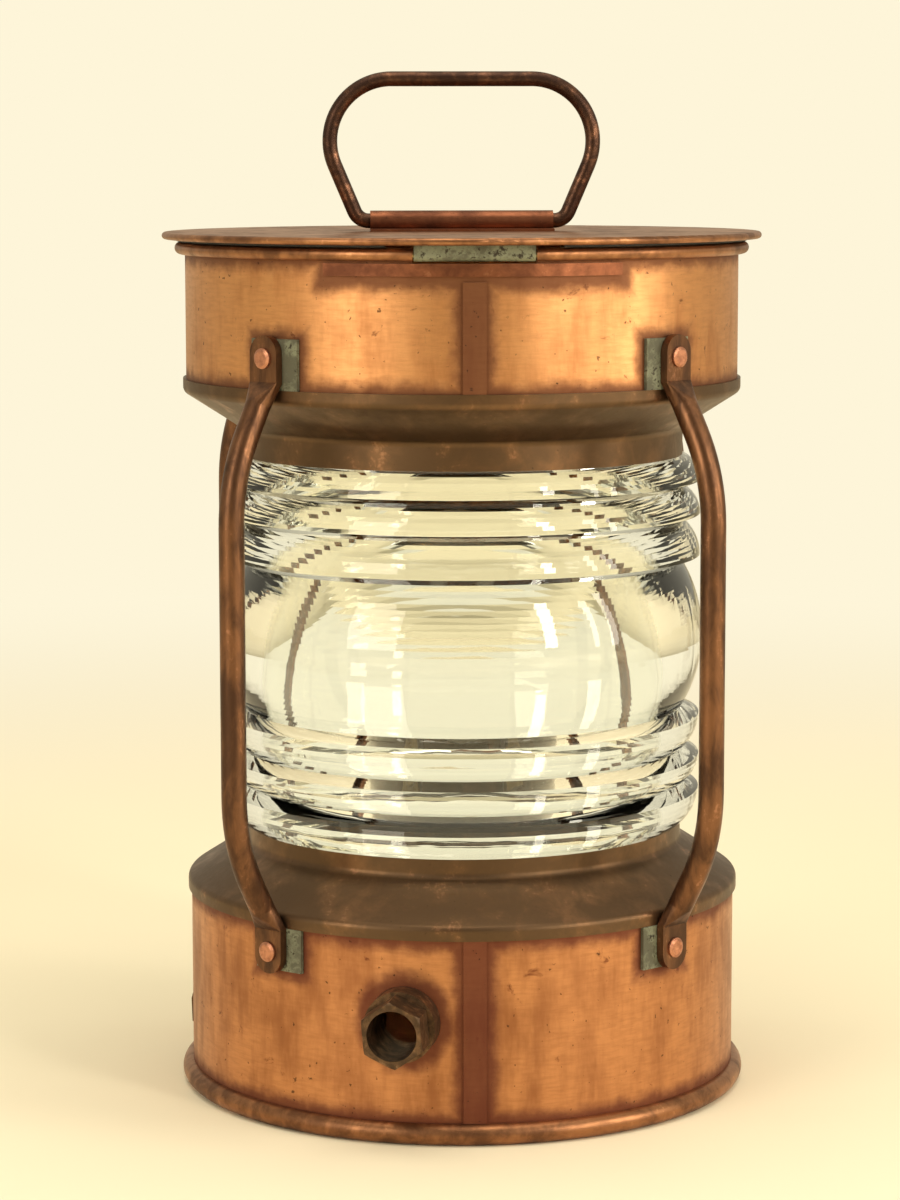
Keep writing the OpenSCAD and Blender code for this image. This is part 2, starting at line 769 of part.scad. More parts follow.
// Strip bent to a table with two feet
module lamp_bracket() {
    leg_x = bracket_l / 2;
    foot_z = floor_top + film;
    color(brass) difference() {
        union() {
            translate([-leg_x, -bracket_w / 2, bracket_top - bracket_t])
                cube([bracket_l, bracket_w, bracket_t]);
            for (side = [-1, 1]) translate([side * (leg_x - bracket_t / 2), 0, 0]) {
                translate([-bracket_t / 2, -bracket_w / 2, foot_z])
                    cube([bracket_t, bracket_w, bracket_top - foot_z]);
                translate([side > 0 ? -bracket_t / 2 : -bracket_foot + bracket_t / 2,
                    -bracket_w / 2, foot_z]) cube([bracket_foot, bracket_w, bracket_t]);
            }
        }
        bracket_screw_places() cylinder(h = foot_z + bracket_t + over, d = screw_d + 0.2);
        holder_screw_places() translate([0, 0, bracket_top - bracket_t - over])
            cylinder(h = bracket_t + 2 * over, d = screw_d + 0.2);
    }
}

// Two screws hold each foot of the bracket
module bracket_screw_places() {
    x = bracket_l / 2 + bracket_foot / 2;
    for (side = [-1, 1], y = [-1, 1]) translate([side * x, y * bracket_w * 0.27, 0]) children();
}

module bracket_screws() {
    head_z = floor_top + bracket_t + 2 * film;
    color(brass) bracket_screw_places() {
        translate([0, 0, 0.2]) cylinder(h = head_z, d = screw_d);
        translate([0, 0, head_z]) slotted_head();
    }
}

// Cheese head of a screw with a driver slot
module slotted_head() {
    difference() {
        cylinder(h = 2.4, d = screw_d * 1.8);
        translate([-screw_d, -0.5, 1.2]) cube([2 * screw_d, 1, 2]);
    }
}

// The two screws that hold the porcelain foot to the bracket
module holder_screw_places() {
    for (side = [-1, 1]) translate([side * holder_screw_x, 0, 0]) children();
}

module lampholder_foot() {
    step = 6;
    color(porcelain) difference() {
        union() {
            translate([0, 0, cup_foot_z]) cylinder(h = step, r = cup_foot_r);
            translate([0, 0, cup_foot_z]) cylinder(h = cup_foot_h - film, r = cup_foot_r - 10);
        }
        holder_screw_places() translate([0, 0, cup_foot_z - over])
            cylinder(h = step + 2 * over, d = screw_d + 0.4);
        terminal_places() translate([0, 0, cup_foot_z + 1.5]) cylinder(h = step, d = screw_d + 0.1);
        translate([0, 0, cup_foot_z + cup_foot_h - 4]) cylinder(h = 4 + over, r = lamp_shell_r - 4);
    }
}

module lampholder_cup() {
    bore = lamp_shell_r + lamp_shell_t + thread_depth + film;
    color(porcelain) rotate_extrude() polygon([[bore, cup_z], [cup_r - 1.5, cup_z],
        [cup_r, cup_z + 1.5], [cup_r, cup_top - 3], [cup_r - 1, cup_top - 1],
        [cup_r - 3, cup_top], [bore + 1, cup_top], [bore, cup_top - 1]]);
}

// Brass shell with the rounds of a lamp thread rolled into it
module lamp_screw_shell() {
    low = cup_z + film;
    rounds = floor((cup_top - 2 - low) / thread_pitch);
    path = [for (k = [0 : 6 * rounds]) [lamp_shell_r + thread_depth * (0.5 - 0.5 * cos(60 * k)),
        low + k * thread_pitch / 6]];
    back = [for (k = [6 * rounds : -1 : 0]) path[k] + [lamp_shell_t, 0]];
    color(brass) rotate_extrude() polygon(concat(path, back));
}

// Springy tongue under the lamp's centre, on a block
module centre_contact() {
    z = cup_foot_z + cup_foot_h - 4 + film;
    color(brass) {
        translate([-4, -3, z]) cube([8, 6, 0.6]);
        translate([3.4, -3, z]) cube([0.6, 6, 5]);
        translate([-3, -3, z + 4.4]) cube([7, 6, 0.6]);
    }
}

// The two screws for the leads
module terminal_places() {
    for (side = [-1, 1]) translate([0, side * terminal_y, 0]) children();
}

module terminal_screws() {
    top = cup_foot_z + 6 + film;
    color(brass) terminal_places() {
        translate([0, 0, cup_foot_z + 2]) cylinder(h = top - cup_foot_z - 2 + 0.1, d = screw_d);
        translate([0, 0, top]) slotted_head();
    }
}

module lampholder_screws() {
    top = cup_foot_z + 6 + film;
    low = bracket_top - bracket_t - 5;
    color(brass) holder_screw_places() {
        translate([0, 0, low]) cylinder(h = top - low + 0.1, d = screw_d);
        translate([0, 0, top]) slotted_head();
        translate([0, 0, bracket_top - bracket_t - film - 2.6])
            cylinder(h = 2.6, r = screw_d, $fn = 6);
    }
}

// Flat sheet with a rolled edge
module lid_plate() {
    roll_ring_r = lid_r - lid_roll_r;
    color(copper) difference() {
        rotate_extrude() union() {
            translate([0, lid_under]) square([roll_ring_r, sheet]);
            translate([roll_ring_r, roll_z]) circle(r = lid_roll_r);
        }
        lid_rivet_places() translate([0, 0, lid_under - over])
            cylinder(h = sheet + 2 * over, d = lug_rivet_d + 0.2);
    }
}

// The ring under the lid is open at the hinge
module lid_spigot() {
    outer = wall_in - spigot_play;
    color(dark_copper) difference() {
        ring(outer - sheet, outer, lid_under - film - spigot_h, lid_under - film);
        front_gap(hinge_cut_half);
    }
}

module lid_seal() {
    inner = bead_ring_r - seal_w / 2;
    low = bead_z + top_bead_r + 0.3;
    color(rubber_black) difference() {
        ring(inner, inner + seal_w, low, lid_under - film);
        front_gap(hinge_cut_half + 1);
    }
}

// Block that clears the front of a ring to a half width
module front_gap(half) {
    translate([-half, -lid_r - over, lid_under - 40]) cube([2 * half, lid_r - 20, 60]);
}

// Strip rolled round the pin, with a leaf that is soldered under the lid
module hinge_knuckle() {
    leaf_t = sheet;
    front_y = hinge_y - knuckle_r;
    leaf_top = lid_under - film;
    leaf_in = 12;
    color(tin) difference() {
        union() {
            hinge_axis(knuckle_w, knuckle_r);
            translate([-knuckle_w / 2, front_y, bead_z]) cube([knuckle_w, leaf_t, leaf_top - bead_z]);
            translate([-knuckle_w / 2, front_y, leaf_top - leaf_t])
                cube([knuckle_w, leaf_in, leaf_t]);
        }
        hinge_axis(knuckle_w + 2 * over, hinge_pin_d / 2 + hinge_play);
    }
}

// Strip folded over the handle wire, with a flat foot on the lid
module handle_sleeve() {
    color(copper) difference() {
        union() {
            translate([-sleeve_l / 2, 0, pivot_z]) rotate([0, 90, 0])
                cylinder(h = sleeve_l, r = sleeve_out);
            translate([-sleeve_l / 2, -sleeve_foot_w / 2, lid_top + film])
                cube([sleeve_l, sleeve_foot_w, sleeve_t]);
        }
        translate([-sleeve_l / 2 - over, 0, pivot_z]) rotate([0, 90, 0])
            cylinder(h = sleeve_l + 2 * over, r = sleeve_in);
    }
}

// The two rivets of the lug on the lid
module lid_rivet_places() {
    for (side = [-1, 1]) translate([side * lug_w * 0.27, wall_in - spigot_play - 9, 0]) children();
}

module lid_lug() {
    from_r = wall_in - spigot_play - 13;
    color(dark_copper) difference() {
        ear(from_r, lid_top + film);
        lid_rivet_places() translate([0, 0, lid_top - over])
            cylinder(h = lug_t + 3 * over, d = lug_rivet_d + 0.2);
    }
}

module lid_lug_rivets() {
    low = lid_under - film;
    high = lid_top + lug_t + 2 * film;
    color(copper) lid_rivet_places() {
        translate([0, 0, low - 0.1]) cylinder(h = high - low + 0.2, d = lug_rivet_d);
        translate([0, 0, high]) rivet_head(lug_rivet_d * 1.7, 1);
        translate([0, 0, low]) mirror([0, 0, 1]) rivet_head(lug_rivet_d * 1.7, 1);
    }
}

// Bail of bent wire: both ends lie in the sleeve
module handle() {
    a = [1.5, 0];
    b = [handle_foot_x, 0];
    c = [handle_corner_x, handle_h];
    d = [0, handle_h];
    foot = bend(a, b, c, handle_foot_r);
    corner = bend(b, c, d, handle_corner_r);
    top = corner[4];
    color(brown) translate([0, 0, pivot_z]) union() {
        rod_run([-top[0], top[1]], top, wire_r);
        for (side = [0, 1]) mirror([side, 0, 0]) {
            rod_run(a, foot[3], wire_r, 0);
            rod_bend(foot, handle_foot_r, wire_r);
            rod_run(foot[4], corner[3], wire_r);
            rod_bend(corner, handle_corner_r, wire_r);
        }
    }
}

base_plate();
base_shell();
base_bead();
base_seam_strip();
base_shoulder();
lower_lens_seat();
lower_lens_gasket();
lens();
upper_lens_gasket();
upper_lens_seat();
upper_shoulder();
upper_shell();
upper_bead();
upper_seam_strip();
hinge_strap();
hinge_pin();
guard_front_left();
guard_front_right();
guard_rear_left();
guard_rear_right();
upper_guard_pads();
lower_guard_pads();
upper_guard_rivets();
lower_guard_rivets();
gland_boss();
gland_body();
air_hood_left();
air_hood_right();
catch_lug();
catch_lug_rivets();
lamp_bracket();
bracket_screws();
lampholder_foot();
lampholder_cup();
lamp_screw_shell();
centre_contact();
terminal_screws();
lampholder_screws();
lid_plate();
lid_spigot();
lid_seal();
hinge_knuckle();
handle_sleeve();
lid_lug();
lid_lug_rivets();
handle();
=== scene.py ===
# %% [markdown]
# # An old copper anchor light
# A ship's anchor light is a drum of soldered copper sheet, a heavy pressed glass lens and a second drum
# with a hinged lid. Four bowed rods tie the drums together and guard the glass. The pieces come ready
# made from the CAD model: each node is one real piece and keeps its own mesh. This lesson dresses them.
# It sets the camera and the light, and gives every piece the finish that salt air and handling leave.

# %% Load the frame
import math

import bpy
import numpy as np
from mathutils import Matrix, Vector


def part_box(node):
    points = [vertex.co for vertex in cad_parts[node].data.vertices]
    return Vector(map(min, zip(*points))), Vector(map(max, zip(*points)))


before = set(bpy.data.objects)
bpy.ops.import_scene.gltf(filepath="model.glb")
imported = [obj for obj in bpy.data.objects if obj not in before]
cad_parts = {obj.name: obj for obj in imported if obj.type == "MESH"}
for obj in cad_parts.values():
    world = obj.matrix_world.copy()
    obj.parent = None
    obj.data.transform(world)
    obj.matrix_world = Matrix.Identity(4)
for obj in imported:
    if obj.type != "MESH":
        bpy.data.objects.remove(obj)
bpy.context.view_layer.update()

MM = 0.001

# %% [markdown]
# ## Sizes that the finishes share
# The oxide on the walls follows the joints, so the finishes have to know where the joints are. Heights
# and radii could be typed in again, but they are read from the boxes of the nodes, in millimetres, so
# that a finish still fits when a size of the lamp changes.

# %% Read the radii and heights
def span(node, axis):
    """Lowest and highest value of a node along one axis, in millimetres."""
    low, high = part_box(node)
    return low[axis] / MM, high[axis] / MM


def middle(node, axis):
    return sum(span(node, axis)) / 2


WALL_R = span("base_shell", 0)[1]
FOOT_BEAD_TOP = span("base_bead", 2)[1]
BASE_SKIRT_Z = span("base_shoulder", 2)[0]
TOP_SKIRT_Z = span("upper_shoulder", 2)[1]
TOP_BEAD_LOW = span("upper_bead", 2)[0]
STRAP_LOW = span("hinge_strap", 2)[0]
SEAM_HALF = span("base_seam_strip", 0)[1]
BASE_PAD = span("lower_guard_pads", 2)
TOP_PAD = span("upper_guard_pads", 2)
GLAND_Z = middle("gland_boss", 2)
GLAND_AZIMUTH = math.degrees(math.atan2(middle("gland_boss", 0), -middle("gland_boss", 1)))
print(f"wall radius {WALL_R:.1f} mm, gland at {GLAND_AZIMUTH:.1f} degrees, {GLAND_Z:.1f} mm up")

# %% [markdown]
# ## The camera
# The photograph was taken from about 1.34 m with a long lens, a little above the lid and looking down by
# 7.4 degrees. A long lens keeps the drums' ellipses flat. The lamp was turned by 2.3 degrees in front of
# it. The lamp has to stay on its own axes here, so the camera goes round it by that much instead.

# %% Place the camera
FOCAL_PX = 3418.1
FRAME_HEIGHT_PX = 1200
SENSOR_HEIGHT = 36.0
CAMERA_SIDE = -4.73
CAMERA_BACK = 1343.9
CAMERA_UP = 365.74
LOOK_DOWN = 7.43
CAMERA_ROUND = -2.3
CAMERA_ROLL = -0.08


def turned(degrees, axis):
    return Matrix.Rotation(math.radians(degrees), 4, axis)


camera_data = bpy.data.cameras.new("photo_camera")
camera_data.sensor_fit = "VERTICAL"
camera_data.sensor_height = SENSOR_HEIGHT
camera_data.lens = FOCAL_PX * SENSOR_HEIGHT / FRAME_HEIGHT_PX
camera = bpy.data.objects.new("photo_camera", camera_data)
bpy.context.scene.collection.objects.link(camera)
stand = Matrix.Translation((CAMERA_SIDE * MM, -CAMERA_BACK * MM, CAMERA_UP * MM))
aim = turned(90 - LOOK_DOWN, "X") @ turned(CAMERA_ROLL, "Z")
camera.matrix_world = turned(CAMERA_ROUND, "Z") @ stand @ aim
bpy.context.scene.camera = camera
print("camera at", [round(v, 3) for v in camera.matrix_world.translation])

# %% [markdown]
# ## Shader maths in plain Python
# A finish could be wired by hand from dozens of nodes, but it is easier to read as a formula. `Signal`
# wraps one output of a node and overloads the operators, so `1 - mask * 0.5` adds the Math nodes by
# itself. `Sheet` holds a node tree and makes every other node through one method.

# %% Wrap a socket
class Signal:
    """One output of a shader node that can be used in Python arithmetic."""

    def __init__(self, sheet, socket):
        self.sheet = sheet
        self.socket = socket

    def maths(self, operation, *others):
        return self.sheet.node("ShaderNodeMath", {"operation": operation}, [self, *others])

    def maths_from(self, operation, first):
        return self.sheet.node("ShaderNodeMath", {"operation": operation}, [first, self])

    def __add__(self, other):
        return self.maths("ADD", other)

    def __sub__(self, other):
        return self.maths("SUBTRACT", other)

    def __rsub__(self, other):
        return self.maths_from("SUBTRACT", other)

    def __mul__(self, other):
        return self.maths("MULTIPLY", other)

    def __truediv__(self, other):
        return self.maths("DIVIDE", other)

    def __rtruediv__(self, other):
        return self.maths_from("DIVIDE", other)

    def __pow__(self, other):
        return self.maths("POWER", other)

    def __abs__(self):
        return self.maths("ABSOLUTE")

    __radd__ = __add__
    __rmul__ = __mul__

    def least(self, other):
        return self.maths("MINIMUM", other)

    def most(self, other):
        return self.maths("MAXIMUM", other)

    def fade(self, start, stop):
        """0 at start and 1 at stop, smoothly. Start may be the larger one."""
        settings = {"interpolation_type": "SMOOTHSTEP"}
        inputs = {"Value": self, "From Min": start, "From Max": stop}
        return self.sheet.node("ShaderNodeMapRange", settings, inputs)


print("operators ready on", Signal.__name__)

# %% Wrap a node tree
class Sheet:
    """A node tree, with one method that makes any node."""

    def __init__(self, tree):
        self.tree = tree
        self.tree.nodes.clear()

    def node(self, kind, settings=None, inputs=None, output=0):
        made = self.tree.nodes.new(kind)
        for key, value in (settings or {}).items():
            setattr(made, key, value)
        pairs = inputs.items() if isinstance(inputs, dict) else enumerate(inputs or [])
        for key, value in pairs:
            if isinstance(value, Signal):
                self.tree.links.new(value.socket, made.inputs[key])
            else:
                made.inputs[key].default_value = value
        if isinstance(output, tuple):
            return [Signal(self, made.outputs[key]) for key in output]
        return Signal(self, made.outputs[output]) if made.outputs else None

    def split(self, vector):
        return self.node("ShaderNodeSeparateXYZ", inputs=[vector], output=("X", "Y", "Z"))

    def join(self, x, y, z):
        return self.node("ShaderNodeCombineXYZ", inputs=[x, y, z])

    def blend(self, mask, low, high):
        """Colour that goes from low to high as the mask goes from 0 to 1."""
        settings = {"data_type": "RGBA", "blend_type": "MIX", "clamp_factor": True}
        return self.node("ShaderNodeMix", settings, {0: mask, 6: low, 7: high}, output=2)


print("node helper ready on", Sheet.__name__)

# %% Wrap a material
class Finish(Sheet):
    """A material that is worked out from the place of a point on the lamp."""

    def __init__(self, name):
        self.material = bpy.data.materials.new(name)
        self.material.use_nodes = True
        super().__init__(self.material.node_tree)

    def place(self):
        """Where a point of the piece is, in millimetres of the lamp's own frame."""
        metres = self.node("ShaderNodeTexCoord", output="Object")
        return self.node("ShaderNodeVectorMath", {"operation": "SCALE"}, {0: metres, "Scale": 1 / MM})

    def grain(self, where, size, detail=3.0, rough=0.55, warp=0.0):
        """Noise from 0 to 1 whose main lumps are about size millimetres across."""
        inputs = {"Vector": where, "Scale": 1.0 / size, "Detail": detail, "Roughness": rough,
                  "Distortion": warp}
        return self.node("ShaderNodeTexNoise", inputs=inputs)

    def surface(self, colour, roughness, metallic, height, bump, depth, **fixed):
        """Principled surface. Height is a share of depth, which is in millimetres."""
        inputs = {"Base Color": colour, "Roughness": roughness, "Metallic": metallic}
        inputs.update(fixed)
        relief = {"Strength": bump, "Distance": depth * MM, "Height": height}
        inputs["Normal"] = self.node("ShaderNodeBump", inputs=relief)
        shader = self.node("ShaderNodeBsdfPrincipled", inputs=inputs)
        self.node("ShaderNodeOutputMaterial", inputs={"Surface": shader})
        return self.material


def rgb(red, green, blue):
    """A colour as the eye reads it, 0 to 255, turned into the linear colour that shaders use."""
    linear = [((c / 255 + 0.055) / 1.055) ** 2.4 if c > 10 else c / 255 / 12.92
              for c in (red, green, blue)]
    return (*linear, 1.0)


print("material helper ready on", Finish.__name__)

# %% [markdown]
# ## Light and backdrop
# The photograph has a cream paper sweep in a bright room. The camera, and any ray that has gone through
# the glass, sees the plain cream. Polished metal needs something to reflect. A picture of a room could
# wrap round the lamp, but a formula does it with less: the same cream behind the lamp, a darker room in
# front of it, and soft boxes for the long highlights.

# %% Make the world
CREAM = rgb(254, 245, 217)
DARK_ROOM = (0.13, 0.11, 0.085, 1.0)
ROOM_STRENGTH = 0.65


def make_world():
    """Cream to the camera and through the glass, dimmer and darker in front for metal."""
    world = bpy.data.worlds.new("cream_room")
    world.use_nodes = True
    bpy.context.scene.world = world
    sheet = Sheet(world.node_tree)
    camera_ray, glass_ray = sheet.node("ShaderNodeLightPath",
                                       output=("Is Camera Ray", "Is Transmission Ray"))
    x, y, z = sheet.split(sheet.node("ShaderNodeTexCoord", output="Generated"))
    front = (y * -1.0).fade(-0.35, 0.85)
    room = sheet.blend(front * (1 - abs(x) * 0.5), CREAM, DARK_ROOM)
    seen = camera_ray.most(glass_ray)
    light = {"Color": sheet.blend(seen, room, CREAM),
             "Strength": ROOM_STRENGTH + seen * (1 - ROOM_STRENGTH)}
    background = sheet.node("ShaderNodeBackground", inputs=light)
    sheet.node("ShaderNodeOutputWorld", inputs={"Surface": background})
    return world


print("world:", make_world().name)

# %% Hang the soft boxes
WARM = (1.0, 0.93, 0.80)
AIM_Z = 0.2


def soft_box(name, azimuth, height, distance, width, tall, watts, aim=AIM_Z):
    """A rectangular lamp at an azimuth from the front, aimed at the lamp's axis. Sizes in metres."""
    data = bpy.data.lights.new(name, "AREA")
    data.shape = "RECTANGLE"
    data.size, data.size_y = width, tall
    data.energy = watts
    data.color = WARM
    box = bpy.data.objects.new(name, data)
    angle = math.radians(azimuth)
    box.location = (distance * math.sin(angle), -distance * math.cos(angle), height)
    box.rotation_euler = (Vector((0, 0, aim)) - box.location).to_track_quat("-Z", "Y").to_euler()
    bpy.context.scene.collection.objects.link(box)


soft_box("window_right", azimuth=39, height=0.9, distance=2.0, width=0.22, tall=1.2, watts=14)
soft_box("window_far_right", azimuth=68, height=0.8, distance=2.0, width=0.5, tall=1.2, watts=14)
soft_box("room_left", azimuth=-45, height=0.9, distance=2.2, width=1.0, tall=1.4, watts=18)
soft_box("ceiling", azimuth=0, height=2.6, distance=0.3, width=2.2, tall=2.2, watts=38, aim=0.1)

# %% [markdown]
# ## The floor
# The real sweep is one sheet of paper that curves up behind the lamp. A curved sheet would do, but a flat
# floor that turns into the backdrop's own cream far from the lamp gives the same picture with no horizon,
# and it keeps the lamp's shadow.

# %% Lay the floor
FLOOR_HALF = 6.0
FLOOR_STEPS = 24
FLOOR_DROP = 0.2 * MM
SHADE_NEAR, SHADE_FAR = 350.0, 1500.0
PAPER = rgb(250, 240, 212)


def paper_finish():
    """Paper that takes the shadow near the lamp and melts into the backdrop farther out."""
    sheet = Finish("cream_paper")
    x, y, z = sheet.split(sheet.place())
    far = ((x * x + y * y) ** 0.5).fade(SHADE_NEAR, SHADE_FAR)
    camera_ray = sheet.node("ShaderNodeLightPath", output="Is Camera Ray")
    paper = sheet.node("ShaderNodeBsdfDiffuse", inputs={"Color": PAPER})
    glow = sheet.node("ShaderNodeEmission", inputs={"Color": CREAM, "Strength": 1.0})
    both = sheet.node("ShaderNodeMixShader", inputs=[far * camera_ray, paper, glow])
    sheet.node("ShaderNodeOutputMaterial", inputs={"Surface": both})
    return sheet.material


def make_floor():
    """A square grid just under the foot of the lamp."""
    grid = np.linspace(-FLOOR_HALF, FLOOR_HALF, FLOOR_STEPS + 1)
    points = [(x, y, -FLOOR_DROP) for y in grid for x in grid]
    row = FLOOR_STEPS + 1
    faces = [(j * row + i, j * row + i + 1, (j + 1) * row + i + 1, (j + 1) * row + i)
             for j in range(FLOOR_STEPS) for i in range(FLOOR_STEPS)]
    mesh = bpy.data.meshes.new("floor")
    mesh.from_pydata(points, [], faces)
    mesh.materials.append(paper_finish())
    floor = bpy.data.objects.new("floor", mesh)
    bpy.context.scene.collection.objects.link(floor)
    return len(faces)


bpy.context.scene.view_settings.view_transform = "Standard"
print("floor of", make_floor(), "faces")

# %% [markdown]
# ## Where the joints lie
# Old copper is never one colour. Bright metal shows where hands and cloths reach it. A brown oxide lies
# over most of it, thicker and redder in a band beside every soldered joint. The bands could be painted,
# but a distance does it for every side at once: the drum is thought of as unrolled, with `u` the way
# round it and `z` the height, and the mask is the distance to the nearest joint.

# %% Unroll a drum
GUARD_AZIMUTHS = (43.0, 134.0)
PAD_TOWARDS_FRONT, PAD_AWAY = 7.0, 4.7
STRAP_REACH = 58.0
STRAP_MARGIN = 2.0
GLAND_REACH = 15.0


def way_round(degrees):
    """Length on the wall, in millimetres, of an angle."""
    return math.radians(degrees) * WALL_R


class Drum:
    """Unrolled place on a drum, and distances to what is soldered to it, in millimetres."""

    def __init__(self, sheet, where):
        x, y, z = sheet.split(where)
        self.u = sheet.node("ShaderNodeMath", {"operation": "ARCTAN2"}, [x, y * -1.0]) * WALL_R
        self.z = z

    def seam(self):
        return abs(self.u) - SEAM_HALF

    def pad(self, azimuth, low, high):
        """Distance to the pads at one azimuth on either side of the front."""
        near, away = way_round(azimuth - PAD_TOWARDS_FRONT), way_round(azimuth + PAD_AWAY)
        side = abs(abs(self.u) - (near + away) / 2) - (away - near) / 2
        up = abs(self.z - (low + high) / 2) - (high - low) / 2
        return side.most(up)

    def pads(self, low, high):
        front, rear = (self.pad(azimuth, low, high) for azimuth in GUARD_AZIMUTHS)
        return front.least(rear)

    def spot(self, azimuth, height, radius):
        du = self.u - way_round(azimuth)
        dz = self.z - height
        return (du * du + dz * dz) ** 0.5 - radius


def base_joints(drum):
    """The seam, the foot bead, the skirt, the pads and the gland."""
    near = drum.seam().least(drum.z - FOOT_BEAD_TOP).least(BASE_SKIRT_Z - drum.z)
    near = near.least(drum.pads(*BASE_PAD))
    return near.least(drum.spot(GLAND_AZIMUTH, GLAND_Z, GLAND_REACH))


def top_joints(drum):
    """The seam, the skirt, the top bead, the pads and the strap under the hinge."""
    near = drum.seam().least(drum.z - TOP_SKIRT_Z).least(TOP_BEAD_LOW - drum.z)
    near = near.least(drum.pads(*TOP_PAD))
    strap = (abs(drum.u) - STRAP_REACH).most(STRAP_LOW - STRAP_MARGIN - drum.z)
    return near.least(strap)


print(f"pads from {BASE_PAD[0]:.1f} and {TOP_PAD[0]:.1f} mm, strap from {STRAP_LOW:.1f} mm")

# %% [markdown]
# ## Wall copper
# The walls were wiped for years, so rubbed metal shows in clouds between runs of brown oxide. The mesh
# could carry painted maps, but noise in millimetres needs none and has no seam round the back. The noise
# is squeezed in height for the runs that rain leaves, and stretched round the drum for the fine lines
# that wiping leaves.

# %% Copper sheet
BAND_WIDTH, BAND_FULL = 7.0, 0.5
BAND_RAGGED = 7.0
PITCH_BLACK = (0.030, 0.016, 0.010, 1.0)


def copper_sheet(name, joints, bright, brown, red, wear, shift=0.0):
    """Wall copper. joints(drum) is the distance to the nearest joint, wear how much metal is bare."""
    sheet = Finish(name)
    where = sheet.place()
    moved = sheet.node("ShaderNodeVectorMath", {"operation": "ADD"}, [where, (shift, shift, 0.0)])
    x, y, z = sheet.split(moved)
    clouds = sheet.grain(moved, 34.0, 4.0, 0.6)
    rain = sheet.grain(sheet.join(x, y, z * 0.22), 7.0, 4.0, 0.6)
    wiping = sheet.grain(sheet.join(x * 0.15, y * 0.15, z), 1.3, 3.0, 0.6)
    blots = sheet.grain(moved, 11.0, 5.0, 0.65, 0.6)
    specks = sheet.grain(moved, 2.2, 2.0, 0.5)
    ragged = (sheet.grain(moved, 8.0, 4.0, 0.6) - 0.5) * BAND_RAGGED
    band = (joints(Drum(sheet, where)) + ragged).fade(BAND_WIDTH, BAND_FULL)
    oxide = ((clouds - 0.5) * 1.6 + (rain - 0.5) * 1.2 + (1 - wear)).fade(0.15, 0.95)
    dots = specks.fade(0.70, 0.76) * 0.7
    colour = sheet.blend(oxide, bright, brown)
    colour = sheet.blend(wiping.fade(0.35, 0.75) * 0.35, colour, brown)
    colour = sheet.blend(band * 0.85, colour, red)
    colour = sheet.blend(blots.fade(0.64, 0.72) * 0.75, colour, red)
    colour = sheet.blend(dots, colour, PITCH_BLACK)
    rough = 0.36 + oxide * 0.10 + band * 0.16 + (wiping - 0.5) * 0.10 + dots * 0.2
    height = clouds * 0.5 + wiping * 0.05 + blots * 0.12 + specks * 0.04
    return sheet.surface(colour, rough, 1.0 - band * 0.25, height, bump=0.5, depth=1.1)


top_copper = copper_sheet("top_drum_copper", top_joints, wear=0.66,
                          bright=(0.74, 0.36, 0.15, 1), brown=(0.44, 0.185, 0.07, 1),
                          red=(0.115, 0.034, 0.016, 1))
base_copper = copper_sheet("base_drum_copper", base_joints, wear=0.5, shift=400.0,
                           bright=(0.60, 0.27, 0.115, 1), brown=(0.34, 0.135, 0.055, 1),
                           red=(0.13, 0.030, 0.016, 1))
print("wall finishes:", top_copper.name, base_copper.name)

# %% [markdown]
# ## Brown copper
# Shoulders, rods, beads and the handle were never polished. They have a dark brown skin that handling
# rubs through in places. One formula makes them all, with its own three colours and its own size of
# patch for each piece, because the cause is the same and only the amount differs.

# %% Brown copper for shoulders, rods and the handle
SOOT = (0.020, 0.014, 0.010, 1.0)


def brown_copper(name, worn, brown, dark, size, amount, rough, stretch=1.0):
    """A dark skin with patches of size millimetres rubbed to brown and to worn metal."""
    sheet = Finish(name)
    where = sheet.place()
    x, y, z = sheet.split(where)
    clouds = sheet.grain(where, 38.0, 3.0, 0.55)
    rubbed = sheet.grain(sheet.join(x, y, z * stretch), size, 4.0, 0.62, 0.3)
    specks = sheet.grain(where, 1.6, 2.0, 0.6)
    bare = ((rubbed - 0.5) * 1.5 + (clouds - 0.5) + amount).fade(0.2, 0.8)
    colour = sheet.blend(bare, dark, brown)
    colour = sheet.blend((rubbed + (specks - 0.5) * 0.5).fade(0.62, 0.80) * 0.75, colour, worn)
    colour = sheet.blend(specks.fade(0.70, 0.78) * 0.5, colour, SOOT)
    roughness = rough + (1 - bare) * 0.12 + (specks - 0.5) * 0.12
    height = clouds * 0.6 + rubbed * 0.12 + specks * 0.04
    return sheet.surface(colour, roughness, 0.92, height, bump=0.5, depth=1.0)


shoulder_brown = brown_copper("shoulder_brown", size=14.0, amount=0.35, rough=0.34,
                              worn=(0.34, 0.17, 0.085, 1), brown=(0.20, 0.105, 0.050, 1),
                              dark=(0.120, 0.070, 0.036, 1))
rod_brown = brown_copper("rod_brown", size=6.0, amount=0.45, rough=0.33, stretch=0.3,
                         worn=(0.42, 0.20, 0.11, 1), brown=(0.23, 0.105, 0.050, 1),
                         dark=(0.085, 0.042, 0.024, 1))
handle_brown = brown_copper("handle_brown", size=5.0, amount=0.40, rough=0.34,
                            worn=(0.40, 0.19, 0.11, 1), brown=(0.17, 0.08, 0.045, 1),
                            dark=(0.055, 0.028, 0.019, 1))
bead_copper = brown_copper("bead_copper", size=9.0, amount=0.55, rough=0.36,
                           worn=(0.62, 0.30, 0.14, 1), brown=(0.38, 0.17, 0.075, 1),
                           dark=(0.16, 0.070, 0.034, 1))
rivet_copper = brown_copper("rivet_copper", size=2.5, amount=0.6, rough=0.40,
                            worn=(0.74, 0.38, 0.24, 1), brown=(0.58, 0.26, 0.15, 1),
                            dark=(0.34, 0.14, 0.08, 1))
